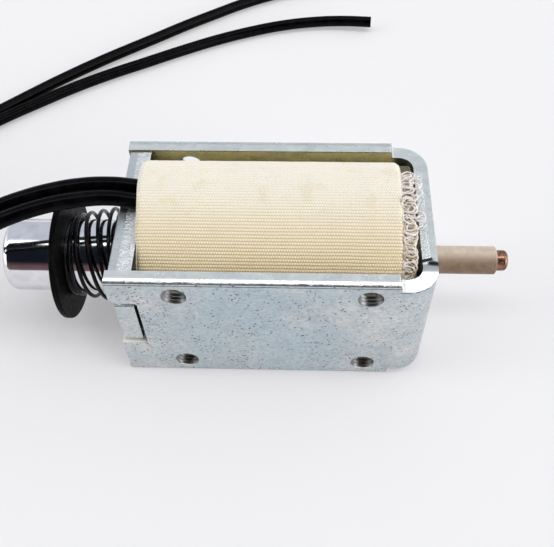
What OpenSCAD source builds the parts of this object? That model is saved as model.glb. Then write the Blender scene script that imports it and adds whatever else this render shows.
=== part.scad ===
/* [Frame] */
// Length of the bent frame along the plunger axis
frame_l = 64; // [62:0.5:72]
// Width of the frame over its two side walls
frame_w = 38; // [38:0.5:44]
// Height of the side walls
frame_h = 33; // [33:0.5:40]
// Thickness of the frame's sheet steel
sheet_t = 3; // [2:0.1:3]
// Inside radius of the frame's two bends
bend_r = 3; // [1:0.5:4]
// How much the web is set in from the walls' top and bottom edges
web_inset = 1.7; // [0.5:0.1:3]
// Length of the set-in stretch, from the web's outer face
web_neck_l = 7.4; // [6:0.2:9]
// Radius that punching leaves on the outer edges of the side walls
wall_roll_r = 0.6; // [0.3:0.1:1]

/* [Side wall holes] */
// Diameter of the mounting screws' holes: four in the front wall, two in the back wall
mount_hole_d = 5; // [3:0.5:6]
// Spacing of the holes along the frame
mount_pitch_x = 38; // [30:0.5:44]
// Spacing of the holes up the wall
mount_pitch_z = 24.3; // [20:0.1:25]

/* [End plate] */
// Thickness of the end plate
plate_t = 4.7; // [3:0.1:6]
// How far the plate sits back from the ends of the walls
plate_recess = 0.4; // [0.2:0.1:1.5]
// How far the plate stays below the walls' edges
plate_drop = 0.4; // [0:0.1:1.5]
// Height of the tab on each side of the plate
tab_h = 12.3; // [8:0.1:14]
// Height of the tab's middle above the wall's middle
tab_offset_z = 1.6; // [-2:0.1:2]
// How far the tab stays below the wall's outer face
tab_recess = 0.5; // [0:0.1:1]
// Gap above the tab in its notch
tab_top_gap = 1.7; // [1:0.1:2]
// Gap below the tab in its notch
tab_low_gap = 0.6; // [0.2:0.1:1]
// Gap between the tab and the closed end of its notch
tab_end_gap = 0.8; // [0.3:0.1:1]
// Length of the wall's corner that is peened down over the tab
peen_l = 2.1; // [1:0.1:3]

/* [Plunger] */
// Diameter of the plunger
plunger_d = 15.8; // [12:0.1:16.4]
// How far the plunger stands out of the frame
plunger_reach = 26.3; // [22:0.1:40]
// Travel of the plunger into the coil
stroke = 6; // [2:0.5:6]
// Radius of the rounded edge at the outer end
plunger_edge_r = 2; // [0.5:0.25:3]
// Diameter of the flat at the inner, conical end
plunger_nose_d = 9.2; // [8:0.1:11]
// Half angle of the cone
cone_angle = 30; // [20:1:45]
// Diameter of the tapped hole in the outer end
end_hole_d = 5; // [3:0.5:6]
// Depth of the tapped hole in the outer end
end_hole_l = 9; // [5:0.5:10]

/* [Retaining clip and washer] */
// Diameter of the washer that the spring pushes on
washer_d = 28; // [23:0.5:31]
// Thickness of the washer
washer_t = 1.3; // [0.8:0.1:2]
// Outer diameter of the clip
clip_d = 20.6; // [20:0.2:22]
// Thickness of the clip
clip_t = 1; // [0.8:0.1:1.4]
// Depth of the clip's groove in the plunger
groove_depth = 1; // [0.6:0.1:1.4]

/* [Return spring] */
// Length of the spring between the washer and the end plate
spring_l = 13; // [13:0.1:16]
// Diameter of the wire
wire_d = 0.84; // [0.5:0.02:0.84]
// Mean diameter of the small coil, at the washer
spring_small_d = 17; // [16.9:0.1:18]
// Mean diameter of the large coil, at the end plate
spring_large_d = 21.2; // [20:0.1:22]
// How far the open coils lean, as a wound wire spring does
spring_lean = 1.4; // [0:0.1:1.4]

/* [Push rod] */
// Diameter of the rod
rod_d = 4.5; // [3:0.1:4.6]
// How far the rod stands out of the web
rod_reach = 17.9; // [12:0.1:30]
// Radius of the rounded edge at the rod's tip
rod_edge_r = 0.8; // [0.2:0.1:1.2]
// Outer diameter of the sleeve on the rod
sleeve_d = 6.1; // [5.6:0.1:6.6]
// How far the rod's tip stands out of the sleeve
rod_bare_l = 2.5; // [1:0.1:6]

/* [Fixed core] */
// Length of the core inside the coil
core_l = 20; // [14:0.5:26]
// Thickness of the core's flange, between coil and web
core_flange_t = 3.5; // [2:0.1:5]
// Diameter of the core's flange
core_flange_d = 23; // [18:0.5:26]
// Diameter of the core's spigot in the web
core_spigot_d = 11; // [9:0.5:14]
// Thickness of the brass shim in the core's cup
shim_t = 0.5; // [0.3:0.1:0.8]

/* [Coil] */
// Wall of the brass tube that guides the plunger
guide_t = 0.5; // [0.3:0.1:0.5]
// Wall of the tube that the coil is wound on
former_t = 0.75; // [0.5:0.05:0.9]
// Thickness of the cheek at each end of the coil
cheek_t = 1.2; // [0.8:0.1:2]
// Thickness of the insulation under the wire
insulation_t = 0.4; // [0.2:0.1:0.6]
// Gap between the taped coil and each side wall
coil_side_gap = 0.1; // [0.05:0.05:1]
// Thickness of the tape round the coil
tape_t = 0.5; // [0.3:0.05:0.6]
// How far the tape laps over the end plate, where the coil stands above it
tape_lap = 1.3; // [0.5:0.1:2.5]
// Radius of the arch that the tape makes over the lead joints
arch_r = 24; // [22:0.5:30]
// Height of the arch's top above the round coil
arch_h = 4.8; // [4.8:0.1:6]
// Sideways place of the arch's top
arch_y = 3.4; // [3:0.1:4]
// Radius of the tape's front shoulder, between arch and side
front_shoulder_r = 6; // [3:0.5:8]
// Radius of the tape's back shoulder
back_shoulder_r = 12; // [9:0.5:13]
// Width of the frayed edge of the tape, in the gap before the web
fringe_w = 2.1; // [1:0.1:2.2]
// Diameter of the sleeves on the two leads
lead_d = 3.2; // [2.4:0.1:3.2]
// Height of the leads' middle lines above the coil's top
lead_rise = 2.1; // [1.9:0.1:2.2]
// Sideways place of lead A
lead_a_y = 4; // [3.8:0.1:4.4]
// Sideways place of lead B
lead_b_y = 0.2; // [0:0.1:0.4]
// Length of each lead that is under the tape
lead_tuck_l = 6.6; // [4:0.1:12]
// Length of the crimped joint at the end of each lead
splice_l = 9; // [6:0.5:14]
// Diameter of the crimped joint
splice_d = 3.4; // [2.6:0.1:3.4]

/* [Hidden] */
$fn = 96;

// Clearances: sliding parts, parts pushed together, and faces that meet
run_gap = 0.08;
press_gap = 0.04;
seat_gap = 0.05;
notch_gap = 0.3;
eps = 1;

// Stations along the plunger axis: the origin is under the middle of the whole length
frame_x = (plunger_reach - rod_reach) / 2;
x_open = frame_x - frame_l / 2;
x_back = frame_x + frame_l / 2;
x_web = x_back - sheet_t;
x_plate_out = x_open + plate_recess;
x_plate_in = x_plate_out + plate_t;
x_notch = x_plate_in + notch_gap;
x_neck = x_back - web_neck_l;
x_flange = x_web - core_flange_t;
x_coil_0 = x_plate_in + seat_gap;
x_coil_1 = x_flange - seat_gap;
x_washer = x_plate_out - spring_l;
x_clip = x_washer - washer_t - seat_gap;
x_plunger = x_open - plunger_reach;
x_rod_tip = x_back + rod_reach;

// The plate's tabs, and the notches for them in the walls
plate_top = frame_h - plate_drop;
tab_z = frame_h / 2 + tab_offset_z;
tab_low = tab_z - tab_h / 2;
tab_top = tab_z + tab_h / 2;
notch_low = tab_low - tab_low_gap;
notch_top = tab_top + tab_top_gap;
notch_corner_r = 0.7;
peen_drop = 0.6;
peen_rise = 1.2;
web_step_r = web_inset / 3;

// The plunger axis and the radii round it
axis_z = frame_h / 2;
plunger_r = plunger_d / 2;
nose_r = plunger_nose_d / 2;
guide_r = plunger_r + run_gap;
former_r = guide_r + guide_t + press_gap;
former_out_r = former_r + former_t;
insulation_r = former_out_r + press_gap;
winding_r = insulation_r + insulation_t + press_gap;
coil_r = frame_w / 2 - sheet_t - coil_side_gap;
cheek_r = coil_r - tape_t - 2 * press_gap;
winding_out_r = cheek_r - 0.2;
rod_r = rod_d / 2;
sleeve_r = sleeve_d / 2;
lead_r = lead_d / 2;

// The cone of the plunger, and the cup for it in the core
cone_l = (plunger_r - nose_r) / tan(cone_angle);
residual_gap = shim_t + 2 * seat_gap;
cup_rim = residual_gap * tan(cone_angle) - run_gap;
x_nose = x_flange - core_l;
x_cone = x_nose - stroke - residual_gap;
x_inner = x_cone + cone_l;
x_cup = x_nose + cone_l;
rod_seat_l = 8;

// Section of the taped coil, in Y and Z: round below, flat at the sides, with an arch on top
// that runs smoothly into two shoulders
arch_centre = [arch_y, axis_z + coil_r + arch_h - arch_r];
front_shoulder = shoulder_centre(-1, front_shoulder_r);
back_shoulder = shoulder_centre(1, back_shoulder_r);

// Routes of the two leads' middle lines, from the joint under the tape to the bare end
lead_z = axis_z + coil_r + lead_rise;
x_splice = x_coil_0 + lead_tuck_l;
lead_a_route = [[x_splice, lead_a_y, lead_z], [x_coil_0, lead_a_y, lead_z],
    [-29, 4.2, 35], [-35, 3.2, 35.7], [-41, 1.2, 36.2], [-47, -1.2, 36.1],
    [-53, -3.6, 35.3], [-60, -5.2, 33.8], [-67.5, -5, 31], [-75.5, -2.3, 26.5],
    [-83, 3.2, 20.8], [-88.6, 11, 14.8],
    [-91.6, 20.3, 9.2], [-92, 30, 4.9], [-89.9, 39.3, 2.4], [-85.8, 47.6, 1.7],
    [-81, 54, 1.7], [-75, 59.2, 1.7], [-66.2, 65.8, 1.7], [-57.8, 71.8, 1.7],
    [-48.2, 77.8, 1.7], [-38.1, 83.3, 1.7], [-28.2, 88.7, 1.7], [-17, 94.3, 1.7],
    [-7, 98.4, 1.7], [3, 101.4, 1.8], [12.8, 102.9, 2], [21.5, 103, 2.3], [30, 102, 2.7]];
lead_b_route = [[x_splice, lead_b_y, lead_z], [x_coil_0, lead_b_y, lead_z],
    [-29, 0.3, 35.3], [-35, -1.1, 36.2], [-41, -3.3, 36.8], [-47, -6, 36.7],
    [-53, -8.9, 35.9], [-60.5, -10.8, 34.4], [-68.6, -10.6, 32], [-77.6, -7.6, 28.7],
    [-86, -1.4, 24.2], [-92.3, 7.6, 18.6],
    [-95.8, 18, 12.6], [-96.4, 29, 7.4], [-94.2, 40, 3.8], [-89.6, 49.2, 2.1],
    [-83.8, 56.4, 1.7], [-76.8, 62.3, 1.7], [-69.6, 68.8, 1.7], [-62, 75.5, 1.7],
    [-51.6, 83.9, 1.7], [-44, 89.5, 1.7], [-36, 95.2, 1.7], [-28, 101, 1.7], [-19, 107, 1.7],
    [-9.8, 112.8, 1.7], [0, 117.6, 1.7], [10, 121, 1.7], [19, 122.8, 1.7]];

// The spring: open space after each turn, as shares, and how far each coil leans, as shares
coil_gaps = [0.05, 0.95, 2.05, 1.65, 1.15, 0.52, 0.05];
coil_leans = [0, 0, 0.6, 1, 0.85, 0.35, 0, 0];
spring_turns = len(coil_gaps);
spring_steps = 24;
spring_start_angle = 125;
spring_lean_angle = 225;

function unit(v) = v / norm(v);
function arc(centre, r, start, end, n = 6, with_end = 1) = [for (i = [0:n - 1 + with_end])
    let (a = start + (end - start) * i / n) centre + r * [cos(a), sin(a)]];
function shoulder_centre(side, r) = let (y = side * (coil_r - r))
    [y, arch_centre[1] + sqrt(pow(arch_r - r, 2) - pow(y - arch_centre[0], 2))];
function direction(v) = atan2(v[1], v[0]);
function sum_to(list, n) = n <= 0 ? 0 : list[n - 1] + sum_to(list, n - 1);
function blend(list, t) = let (i = min(floor(t), len(list) - 2), f = t - i)
    list[i] * (1 - f) + list[i + 1] * f;

// Ring of n points round point i of a path; side says which way its first axis is laid
function ring(path, i, r, n, side) =
    let (t = unit(path[min(i + 1, len(path) - 1)] - path[max(i - 1, 0)]),
        s = unit(cross(t, side)), u = cross(s, t))
    [for (k = [0:n - 1]) path[i] + r * (cos(360 * k / n) * s + sin(360 * k / n) * u)];

// Round bar of radius r along a path
module sweep(path, r, n, side) {
    rings = len(path);
    points = [for (i = [0:rings - 1]) each ring(path, i, r, n, side)];
    walls = [for (i = [0:rings - 2]) for (k = [0:n - 1]) let (m = (k + 1) % n)
        [i * n + k, i * n + m, (i + 1) * n + m, (i + 1) * n + k]];
    cap_0 = [for (k = [n - 1:-1:0]) k];
    cap_1 = [for (k = [0:n - 1]) (rings - 1) * n + k];
    polyhedron(points, concat([cap_0], walls, [cap_1]), convexity = 10);
}

// A flat outline in Y and Z, drawn out along X
module along_x(x0, x1) {
    translate([x0, 0, 0])
        rotate([90, 0, 90])
            linear_extrude(x1 - x0)
                children();
}

// An outline in radius and X, turned round the plunger axis
module turned() {
    translate([0, 0, axis_z])
        rotate([0, 90, 0])
            rotate_extrude()
                children();
}

module bar_x(x0, x1, r) {
    translate([x0, 0, axis_z])
        rotate([0, 90, 0])
            cylinder(h = x1 - x0, r = r);
}

module tube_x(x0, x1, r_out, r_in) {
    difference() {
        bar_x(x0, x1, r_out);
        bar_x(x0 - eps, x1 + eps, r_in);
    }
}

// Solid in the shape of the taped coil, made smaller by inset
module coil_bar(x0, x1, inset) {
    back_end = direction(back_shoulder - arch_centre);
    arch_end = direction(front_shoulder - arch_centre);
    along_x(x0, x1)
        polygon(concat(
            arc([0, axis_z], coil_r - inset, 180, 360, 48),
            arc(back_shoulder, back_shoulder_r - inset, 0, back_end, 20, 0),
            arc(arch_centre, arch_r - inset, back_end, arch_end, 16, 0),
            arc(front_shoulder, front_shoulder_r - inset, arch_end, 180, 8)));
}

// Ring between two such solids
module coil_ring(x0, x1, inset, t) {
    difference() {
        coil_bar(x0, x1, inset);
        coil_bar(x0 - eps, x1 + eps, inset + t);
    }
}

// Plan of one layer of the frame, with its two corners at the web rounded
module frame_plan(length, width, corner_r) {
    translate([0, -width / 2]) square([length - corner_r, width]);
    translate([0, -width / 2 + corner_r]) square([length, width - 2 * corner_r]);
    for (side = [-1, 1])
        translate([length - corner_r, side * (width / 2 - corner_r)]) circle(corner_r);
}

// An outline in X and Z, drawn out across the whole frame
module across() {
    translate([0, frame_w / 2 + eps, 0])
        rotate([90, 0, 0])
            linear_extrude(frame_w + 2 * eps)
                children();
}

// Four holes in the front wall; those at the end plate's end go through the back wall too
module mount_holes() {
    for (dx = [-1, 1], dz = [-1, 1])
        translate([frame_x + dx * mount_pitch_x / 2, -frame_w / 2 - eps, axis_z + dz * mount_pitch_z / 2])
            rotate([-90, 0, 0])
                cylinder(h = (dx < 0 ? frame_w : frame_w / 2) + 2 * eps, d = mount_hole_d);
}

// Notch for a tab: one rounded corner inside, and a peened corner above its mouth
module notch_outline() {
    polygon(concat(
        [[x_open - eps, notch_low], [x_notch, notch_low]],
        arc([x_notch - notch_corner_r, notch_top - notch_corner_r], notch_corner_r, 0, 90),
        [[x_open + peen_l + peen_drop / 2, notch_top], [x_open + peen_l, notch_top - peen_drop],
            [x_open, notch_top + peen_rise], [x_open - eps, notch_top + peen_rise]]));
}

// What is cut off above the web: its step has a rounded outer and inner corner
module web_step_outline() {
    r = web_step_r;
    z = frame_h - web_inset;
    polygon(concat(
        arc([x_neck - r, frame_h - r], r, 90, 0),
        arc([x_neck + r, z + r], r, 180, 270),
        [[x_back + eps, z], [x_back + eps, frame_h + eps], [x_neck - r, frame_h + eps]]));
}

// What is cut off the back wall's upper, outer edge, in Y and Z
module wall_roll_outline() {
    r = wall_roll_r;
    y = frame_w / 2;
    polygon(concat(
        arc([y - r, frame_h - r], r, 0, 90),
        [[y - r, frame_h + eps], [y + eps, frame_h + eps], [y + eps, frame_h - r]]));
}

module frame() {
    color([0.72, 0.77, 0.79])
        difference() {
            translate([x_open, 0, 0])
                linear_extrude(frame_h)
                    difference() {
                        frame_plan(frame_l, frame_w, bend_r + sheet_t);
                        translate([-eps, 0])
                            frame_plan(frame_l - sheet_t + eps, frame_w - 2 * sheet_t, bend_r);
                    }
            across() notch_outline();
            mount_holes();
            // upper edges, then the same cuts turned over for the lower edges
            for (turn = [0, 180])
                translate([0, 0, axis_z])
                    rotate([turn, 0, 0])
                        translate([0, 0, -axis_z]) {
                            across() web_step_outline();
                            along_x(x_open - eps, x_back + eps) {
                                wall_roll_outline();
                                mirror([1, 0]) wall_roll_outline();
                            }
                        }
            bar_x(x_web - eps, x_back + eps, core_spigot_d / 2 + press_gap);
        }
}

module end_plate() {
    plate_w = frame_w - 2 * sheet_t - 2 * press_gap;
    tab_w = frame_w - 2 * tab_recess;
    color([0.76, 0.8, 0.82])
        difference() {
            union() {
                translate([x_plate_out, -plate_w / 2, plate_drop])
                    cube([plate_t, plate_w, plate_top - plate_drop]);
                translate([x_plate_out, -tab_w / 2, tab_low])
                    cube([x_notch - tab_end_gap - x_plate_out, tab_w, tab_h]);
            }
            bar_x(x_plate_out - eps, x_plate_in + eps, guide_r + guide_t + press_gap);
        }
}

module fixed_core() {
    bore_r = sleeve_r + run_gap;
    cup_r = plunger_r - cup_rim;
    color([0.62, 0.64, 0.66])
        difference() {
            turned()
                union() {
                    translate([0, x_nose]) square([plunger_r, core_l + eps]);
                    translate([0, x_flange]) square([core_flange_d / 2, core_flange_t - seat_gap]);
                    translate([0, x_flange]) square([core_spigot_d / 2, x_back - x_flange]);
                }
            turned()
                polygon([[0, x_nose - eps], [cup_r + eps * tan(cone_angle), x_nose - eps],
                    [nose_r, x_nose + (cup_r - nose_r) / tan(cone_angle)],
                    [nose_r, x_cup], [0, x_cup]]);
            bar_x(x_cup - eps, x_back + eps, bore_r);
        }
}

module residual_shim() {
    color([0.8, 0.66, 0.35])
        tube_x(x_cup - shim_t, x_cup, nose_r - press_gap, sleeve_r + 2 * run_gap);
}

module guide_tube() {
    color([0.82, 0.68, 0.36])
        tube_x(x_plate_out + seat_gap, x_coil_1, guide_r + guide_t, guide_r);
}

module former_tube() {
    color([0.55, 0.42, 0.25])
        tube_x(x_coil_0, x_coil_1, former_out_r, former_r);
}

module cheek(x0) {
    color([0.6, 0.46, 0.28])
        tube_x(x0, x0 + cheek_t, cheek_r, former_out_r + press_gap);
}

module left_cheek() {
    cheek(x_coil_0);
}

module right_cheek() {
    cheek(x_coil_1 - cheek_t);
}

module inner_insulation() {
    color([0.86, 0.78, 0.56])
        tube_x(x_coil_0 + cheek_t + seat_gap, x_coil_1 - cheek_t - seat_gap,
            insulation_r + insulation_t, insulation_r);
}

module winding() {
    color([0.72, 0.42, 0.22])
        tube_x(x_coil_0 + cheek_t + seat_gap, x_coil_1 - cheek_t - seat_gap,
            winding_out_r, winding_r);
}

// Channel in the pad for a lead and for its joint
module lead_channel(start) {
    translate([x_coil_0 - eps, start[1], start[2]])
        rotate([0, 90, 0])
            cylinder(h = start[0] - x_coil_0 + eps, r = lead_r + press_gap);
    translate([start[0] - press_gap, start[1], start[2]])
        rotate([0, 90, 0])
            cylinder(h = splice_l + 3 * press_gap, d = splice_d + 2 * press_gap);
}

module lead_pad() {
    color([0.9, 0.84, 0.7])
        difference() {
            coil_bar(x_coil_0, x_coil_1, tape_t + press_gap);
            bar_x(x_coil_0 - eps, x_coil_1 + eps, coil_r - tape_t + press_gap);
            lead_channel(lead_a_route[0]);
            lead_channel(lead_b_route[0]);
        }
}

// Crimped joint between a lead and the end of the winding's wire
module splice(start) {
    waist = 0.3;
    color([0.78, 0.74, 0.66])
        translate([start[0] + press_gap, start[1], start[2]])
            rotate([0, 90, 0])
                rotate_extrude()
                    difference() {
                        square([splice_d / 2, splice_l]);
                        translate([splice_d / 2 + splice_l / 8 - waist, splice_l / 2])
                            circle(splice_l / 8);
                    }
}

module splice_a() {
    splice(lead_a_route[0]);
}

module splice_b() {
    splice(lead_b_route[0]);
}

// Tape round the coil, with a lap over the end plate's top
module coil_wrap() {
    color([0.93, 0.88, 0.74])
        difference() {
            coil_ring(x_coil_0 - tape_lap, x_coil_1, 0, tape_t);
            translate([x_coil_0 - tape_lap - eps, -frame_w / 2, -eps])
                cube([tape_lap + eps, frame_w, plate_top + seat_gap + eps]);
        }
}

// Frayed edge of the tape: a band with a row of eyes, where the loose loops stand
module tape_fringe() {
    band_t = 0.6;
    band_in = bend_r / 4;
    eye_step = 20;
    x0 = x_coil_1 + 2 * seat_gap;
    color([0.9, 0.88, 0.84])
        difference() {
            coil_ring(x0, x0 + fringe_w, band_in, band_t);
            for (a = [0:eye_step:360 - eye_step])
                translate([x0 + fringe_w / 2, 0, axis_z])
                    rotate([a, 0, 0])
                        cylinder(h = 2 * coil_r, r = fringe_w / 3, $fn = 32);
        }
}

module lead_a() {
    color([0.07, 0.07, 0.08])
        sweep(lead_a_route, lead_r, 8, [0, 0, 1]);
}

module lead_b() {
    color([0.07, 0.07, 0.08])
        sweep(lead_b_route, lead_r, 8, [0, 0, 1]);
}

// Middle line of the spring's wire: closed end coils, open coils that widen and lean
function spring_x(t) =
    let (first = x_washer + wire_d / 2 + seat_gap / 2,
        room = spring_l - wire_d - seat_gap - spring_turns * wire_d,
        share = room / sum_to(coil_gaps, spring_turns),
        i = min(floor(t), spring_turns - 1))
    first + t * wire_d + share * (sum_to(coil_gaps, i) + coil_gaps[i] * (t - i));
function spring_r(t) =
    let (f = max(0, min(1, (t - 1) / (spring_turns - 2.5))))
    (spring_small_d * (1 - f) + spring_large_d * f) / 2;
spring_line = [for (i = [0:spring_turns * spring_steps])
    let (t = i / spring_steps, a = 360 * t + spring_start_angle, r = spring_r(t),
        lean = spring_lean * blend(coil_leans, t))
    [spring_x(t) + lean * cos(a - spring_lean_angle), r * cos(a), axis_z + r * sin(a)]];

module return_spring() {
    color([0.1, 0.1, 0.11])
        sweep(spring_line, wire_d / 2, 8, [1, 0, 0]);
}

module plunger() {
    groove_w = clip_t + 2 * seat_gap;
    color([0.8, 0.81, 0.83])
        difference() {
            turned()
                union() {
                    translate([0, x_plunger + plunger_edge_r])
                        square([plunger_r, x_cone - x_plunger - plunger_edge_r]);
                    translate([0, x_plunger]) square([plunger_r - plunger_edge_r, plunger_edge_r + eps]);
                    translate([plunger_r - plunger_edge_r, x_plunger + plunger_edge_r])
                        circle(plunger_edge_r);
                    polygon([[0, x_cone], [plunger_r, x_cone], [nose_r, x_inner], [0, x_inner]]);
                }
            turned()
                translate([plunger_r - groove_depth, x_clip - clip_t - seat_gap])
                    square([groove_depth + eps, groove_w]);
            bar_x(x_plunger - eps, x_plunger + end_hole_l, end_hole_d / 2);
            bar_x(x_inner - rod_seat_l, x_inner + eps, rod_r + press_gap);
        }
}

// Clip with three prongs in the plunger's groove and an open mouth
module retaining_clip() {
    prong_r = plunger_r - groove_depth + press_gap;
    body_r = plunger_r + 0.7;
    mouth = 2 * prong_r * sin(50);
    color([0.12, 0.12, 0.13])
        along_x(x_clip - clip_t, x_clip)
            translate([0, axis_z])
                difference() {
                    circle(d = clip_d);
                    difference() {
                        circle(body_r);
                        for (a = [180, 38, -38])
                            rotate(a)
                                translate([0, -2]) square([body_r + eps, 4]);
                    }
                    circle(prong_r);
                    translate([0, -mouth / 2]) square([clip_d, mouth]);
                }
}

module spring_washer() {
    color([0.11, 0.11, 0.12])
        tube_x(x_washer - washer_t, x_washer, washer_d / 2, plunger_r + run_gap);
}

module push_rod() {
    color([0.66, 0.42, 0.26])
        turned() {
            translate([0, x_inner - rod_seat_l + seat_gap])
                square([rod_r, x_rod_tip - rod_edge_r - x_inner + rod_seat_l - seat_gap]);
            translate([0, x_rod_tip - rod_edge_r - eps]) square([rod_r - rod_edge_r, rod_edge_r + eps]);
            translate([rod_r - rod_edge_r, x_rod_tip - rod_edge_r]) circle(rod_edge_r);
        }
}

module rod_sleeve() {
    color([0.72, 0.62, 0.52])
        tube_x(x_inner + seat_gap, x_rod_tip - rod_bare_l, sleeve_r, rod_r + press_gap / 2);
}

frame();
end_plate();
fixed_core();
residual_shim();
guide_tube();
former_tube();
left_cheek();
right_cheek();
inner_insulation();
winding();
lead_pad();
splice_a();
splice_b();
coil_wrap();
tape_fringe();
lead_a();
lead_b();
return_spring();
plunger();
retaining_clip();
spring_washer();
push_rod();
rod_sleeve();
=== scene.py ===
import math
import random

import bpy
from mathutils import Matrix, Vector, noise


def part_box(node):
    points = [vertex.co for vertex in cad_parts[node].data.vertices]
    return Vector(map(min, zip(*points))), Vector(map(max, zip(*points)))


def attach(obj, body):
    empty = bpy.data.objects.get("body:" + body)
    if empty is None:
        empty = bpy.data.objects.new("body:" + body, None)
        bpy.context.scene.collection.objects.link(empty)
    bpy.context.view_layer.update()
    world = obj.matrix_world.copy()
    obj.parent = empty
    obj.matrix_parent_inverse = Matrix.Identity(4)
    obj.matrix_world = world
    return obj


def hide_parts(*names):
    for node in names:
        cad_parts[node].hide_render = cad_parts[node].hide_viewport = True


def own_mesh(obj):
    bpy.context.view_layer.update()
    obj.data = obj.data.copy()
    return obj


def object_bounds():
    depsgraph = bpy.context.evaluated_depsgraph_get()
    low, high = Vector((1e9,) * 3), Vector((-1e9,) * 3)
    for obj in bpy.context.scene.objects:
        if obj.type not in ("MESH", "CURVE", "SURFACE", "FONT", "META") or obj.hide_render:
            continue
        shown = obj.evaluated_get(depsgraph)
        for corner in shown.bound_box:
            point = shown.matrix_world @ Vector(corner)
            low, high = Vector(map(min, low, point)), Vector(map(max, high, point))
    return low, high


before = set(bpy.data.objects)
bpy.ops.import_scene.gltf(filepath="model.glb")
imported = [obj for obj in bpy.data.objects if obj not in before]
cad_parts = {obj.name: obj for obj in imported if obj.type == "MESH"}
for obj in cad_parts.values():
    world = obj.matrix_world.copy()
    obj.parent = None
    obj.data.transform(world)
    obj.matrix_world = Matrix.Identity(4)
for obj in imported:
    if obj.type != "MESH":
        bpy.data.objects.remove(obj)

CAD_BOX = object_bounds()
MM = 0.001
HOUSING = "housing"
PLUNGER = "plunger_assembly"

FRAME_LO, FRAME_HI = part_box("frame")
PLATE_LO, PLATE_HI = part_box("end_plate")
WRAP_LO, WRAP_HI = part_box("coil_wrap")
WASHER_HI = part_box("spring_washer")[1]
AXIS_Z = (FRAME_LO[2] + FRAME_HI[2]) / 2
SHEET = 3 * MM
WEB_X = FRAME_HI[0] - SHEET
WEB_INSET = 1.7 * MM  # how far the web's top is set in from the walls' top


# ---------------------------------------------------------------- camera

CAMERA_PLACE = (10.15, -101.03, 151.16)
CAMERA_TURN = (35.71, 1.10, 1.80)
CAMERA_LENS = 49.95


def make_camera():
    """Camera at the photograph's viewing angle: its place in millimetres, its turn in degrees."""
    data = bpy.data.cameras.new("camera")
    data.lens = CAMERA_LENS
    data.sensor_width = 36
    camera = bpy.data.objects.new("camera", data)
    camera.location = Vector(CAMERA_PLACE) * MM
    camera.rotation_euler = [math.radians(a) for a in CAMERA_TURN]
    bpy.context.collection.objects.link(camera)
    bpy.context.scene.camera = camera


make_camera()


# ---------------------------------------------------------------- materials

class Nodes:
    """Short ways to build the nodes of a material or of the world."""

    def __init__(self, tree):
        self.tree = tree

    def add(self, kind, **settings):
        node = self.tree.nodes.new(kind)
        for key, value in settings.items():
            setattr(node, key, value)
        return node

    def put(self, socket, value):
        """Links a socket to value, or sets it to value. A colour has three numbers."""
        if isinstance(value, bpy.types.NodeSocket):
            self.tree.links.new(value, socket)
        elif isinstance(value, tuple) and len(value) == 3 and socket.type == "RGBA":
            socket.default_value = (*value, 1)
        else:
            socket.default_value = value

    def split(self, vector):
        """The outputs X, Y and Z of a vector."""
        node = self.add("ShaderNodeSeparateXYZ")
        self.put(node.inputs[0], vector)
        return node.outputs

    def math(self, operation, a, b=0.0):
        node = self.add("ShaderNodeMath", operation=operation)
        self.put(node.inputs[0], a)
        self.put(node.inputs[1], b)
        return node.outputs[0]

    def product(self, first, *others):
        for other in others:
            first = self.math("MULTIPLY", first, other)
        return first

    def fade(self, value, start, end, low=0.0, high=1.0, curve="SMOOTHSTEP"):
        """low up to start, high from end on."""
        node = self.add("ShaderNodeMapRange", interpolation_type=curve)
        self.put(node.inputs["Value"], value)
        numbers = {"From Min": start, "From Max": end, "To Min": low, "To Max": high}
        for socket, number in numbers.items():
            node.inputs[socket].default_value = number
        return node.outputs["Result"]

    def band(self, value, start, end, soft):
        """1 between start and end, 0 outside."""
        return self.product(self.fade(value, start - soft, start), self.fade(value, end, end + soft, 1, 0))

    def mix(self, factor, a, b):
        node = self.add("ShaderNodeMix", data_type="RGBA")
        self.put(node.inputs["Factor"], factor)
        self.put(node.inputs[6], a)
        self.put(node.inputs[7], b)
        return node.outputs[2]


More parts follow.
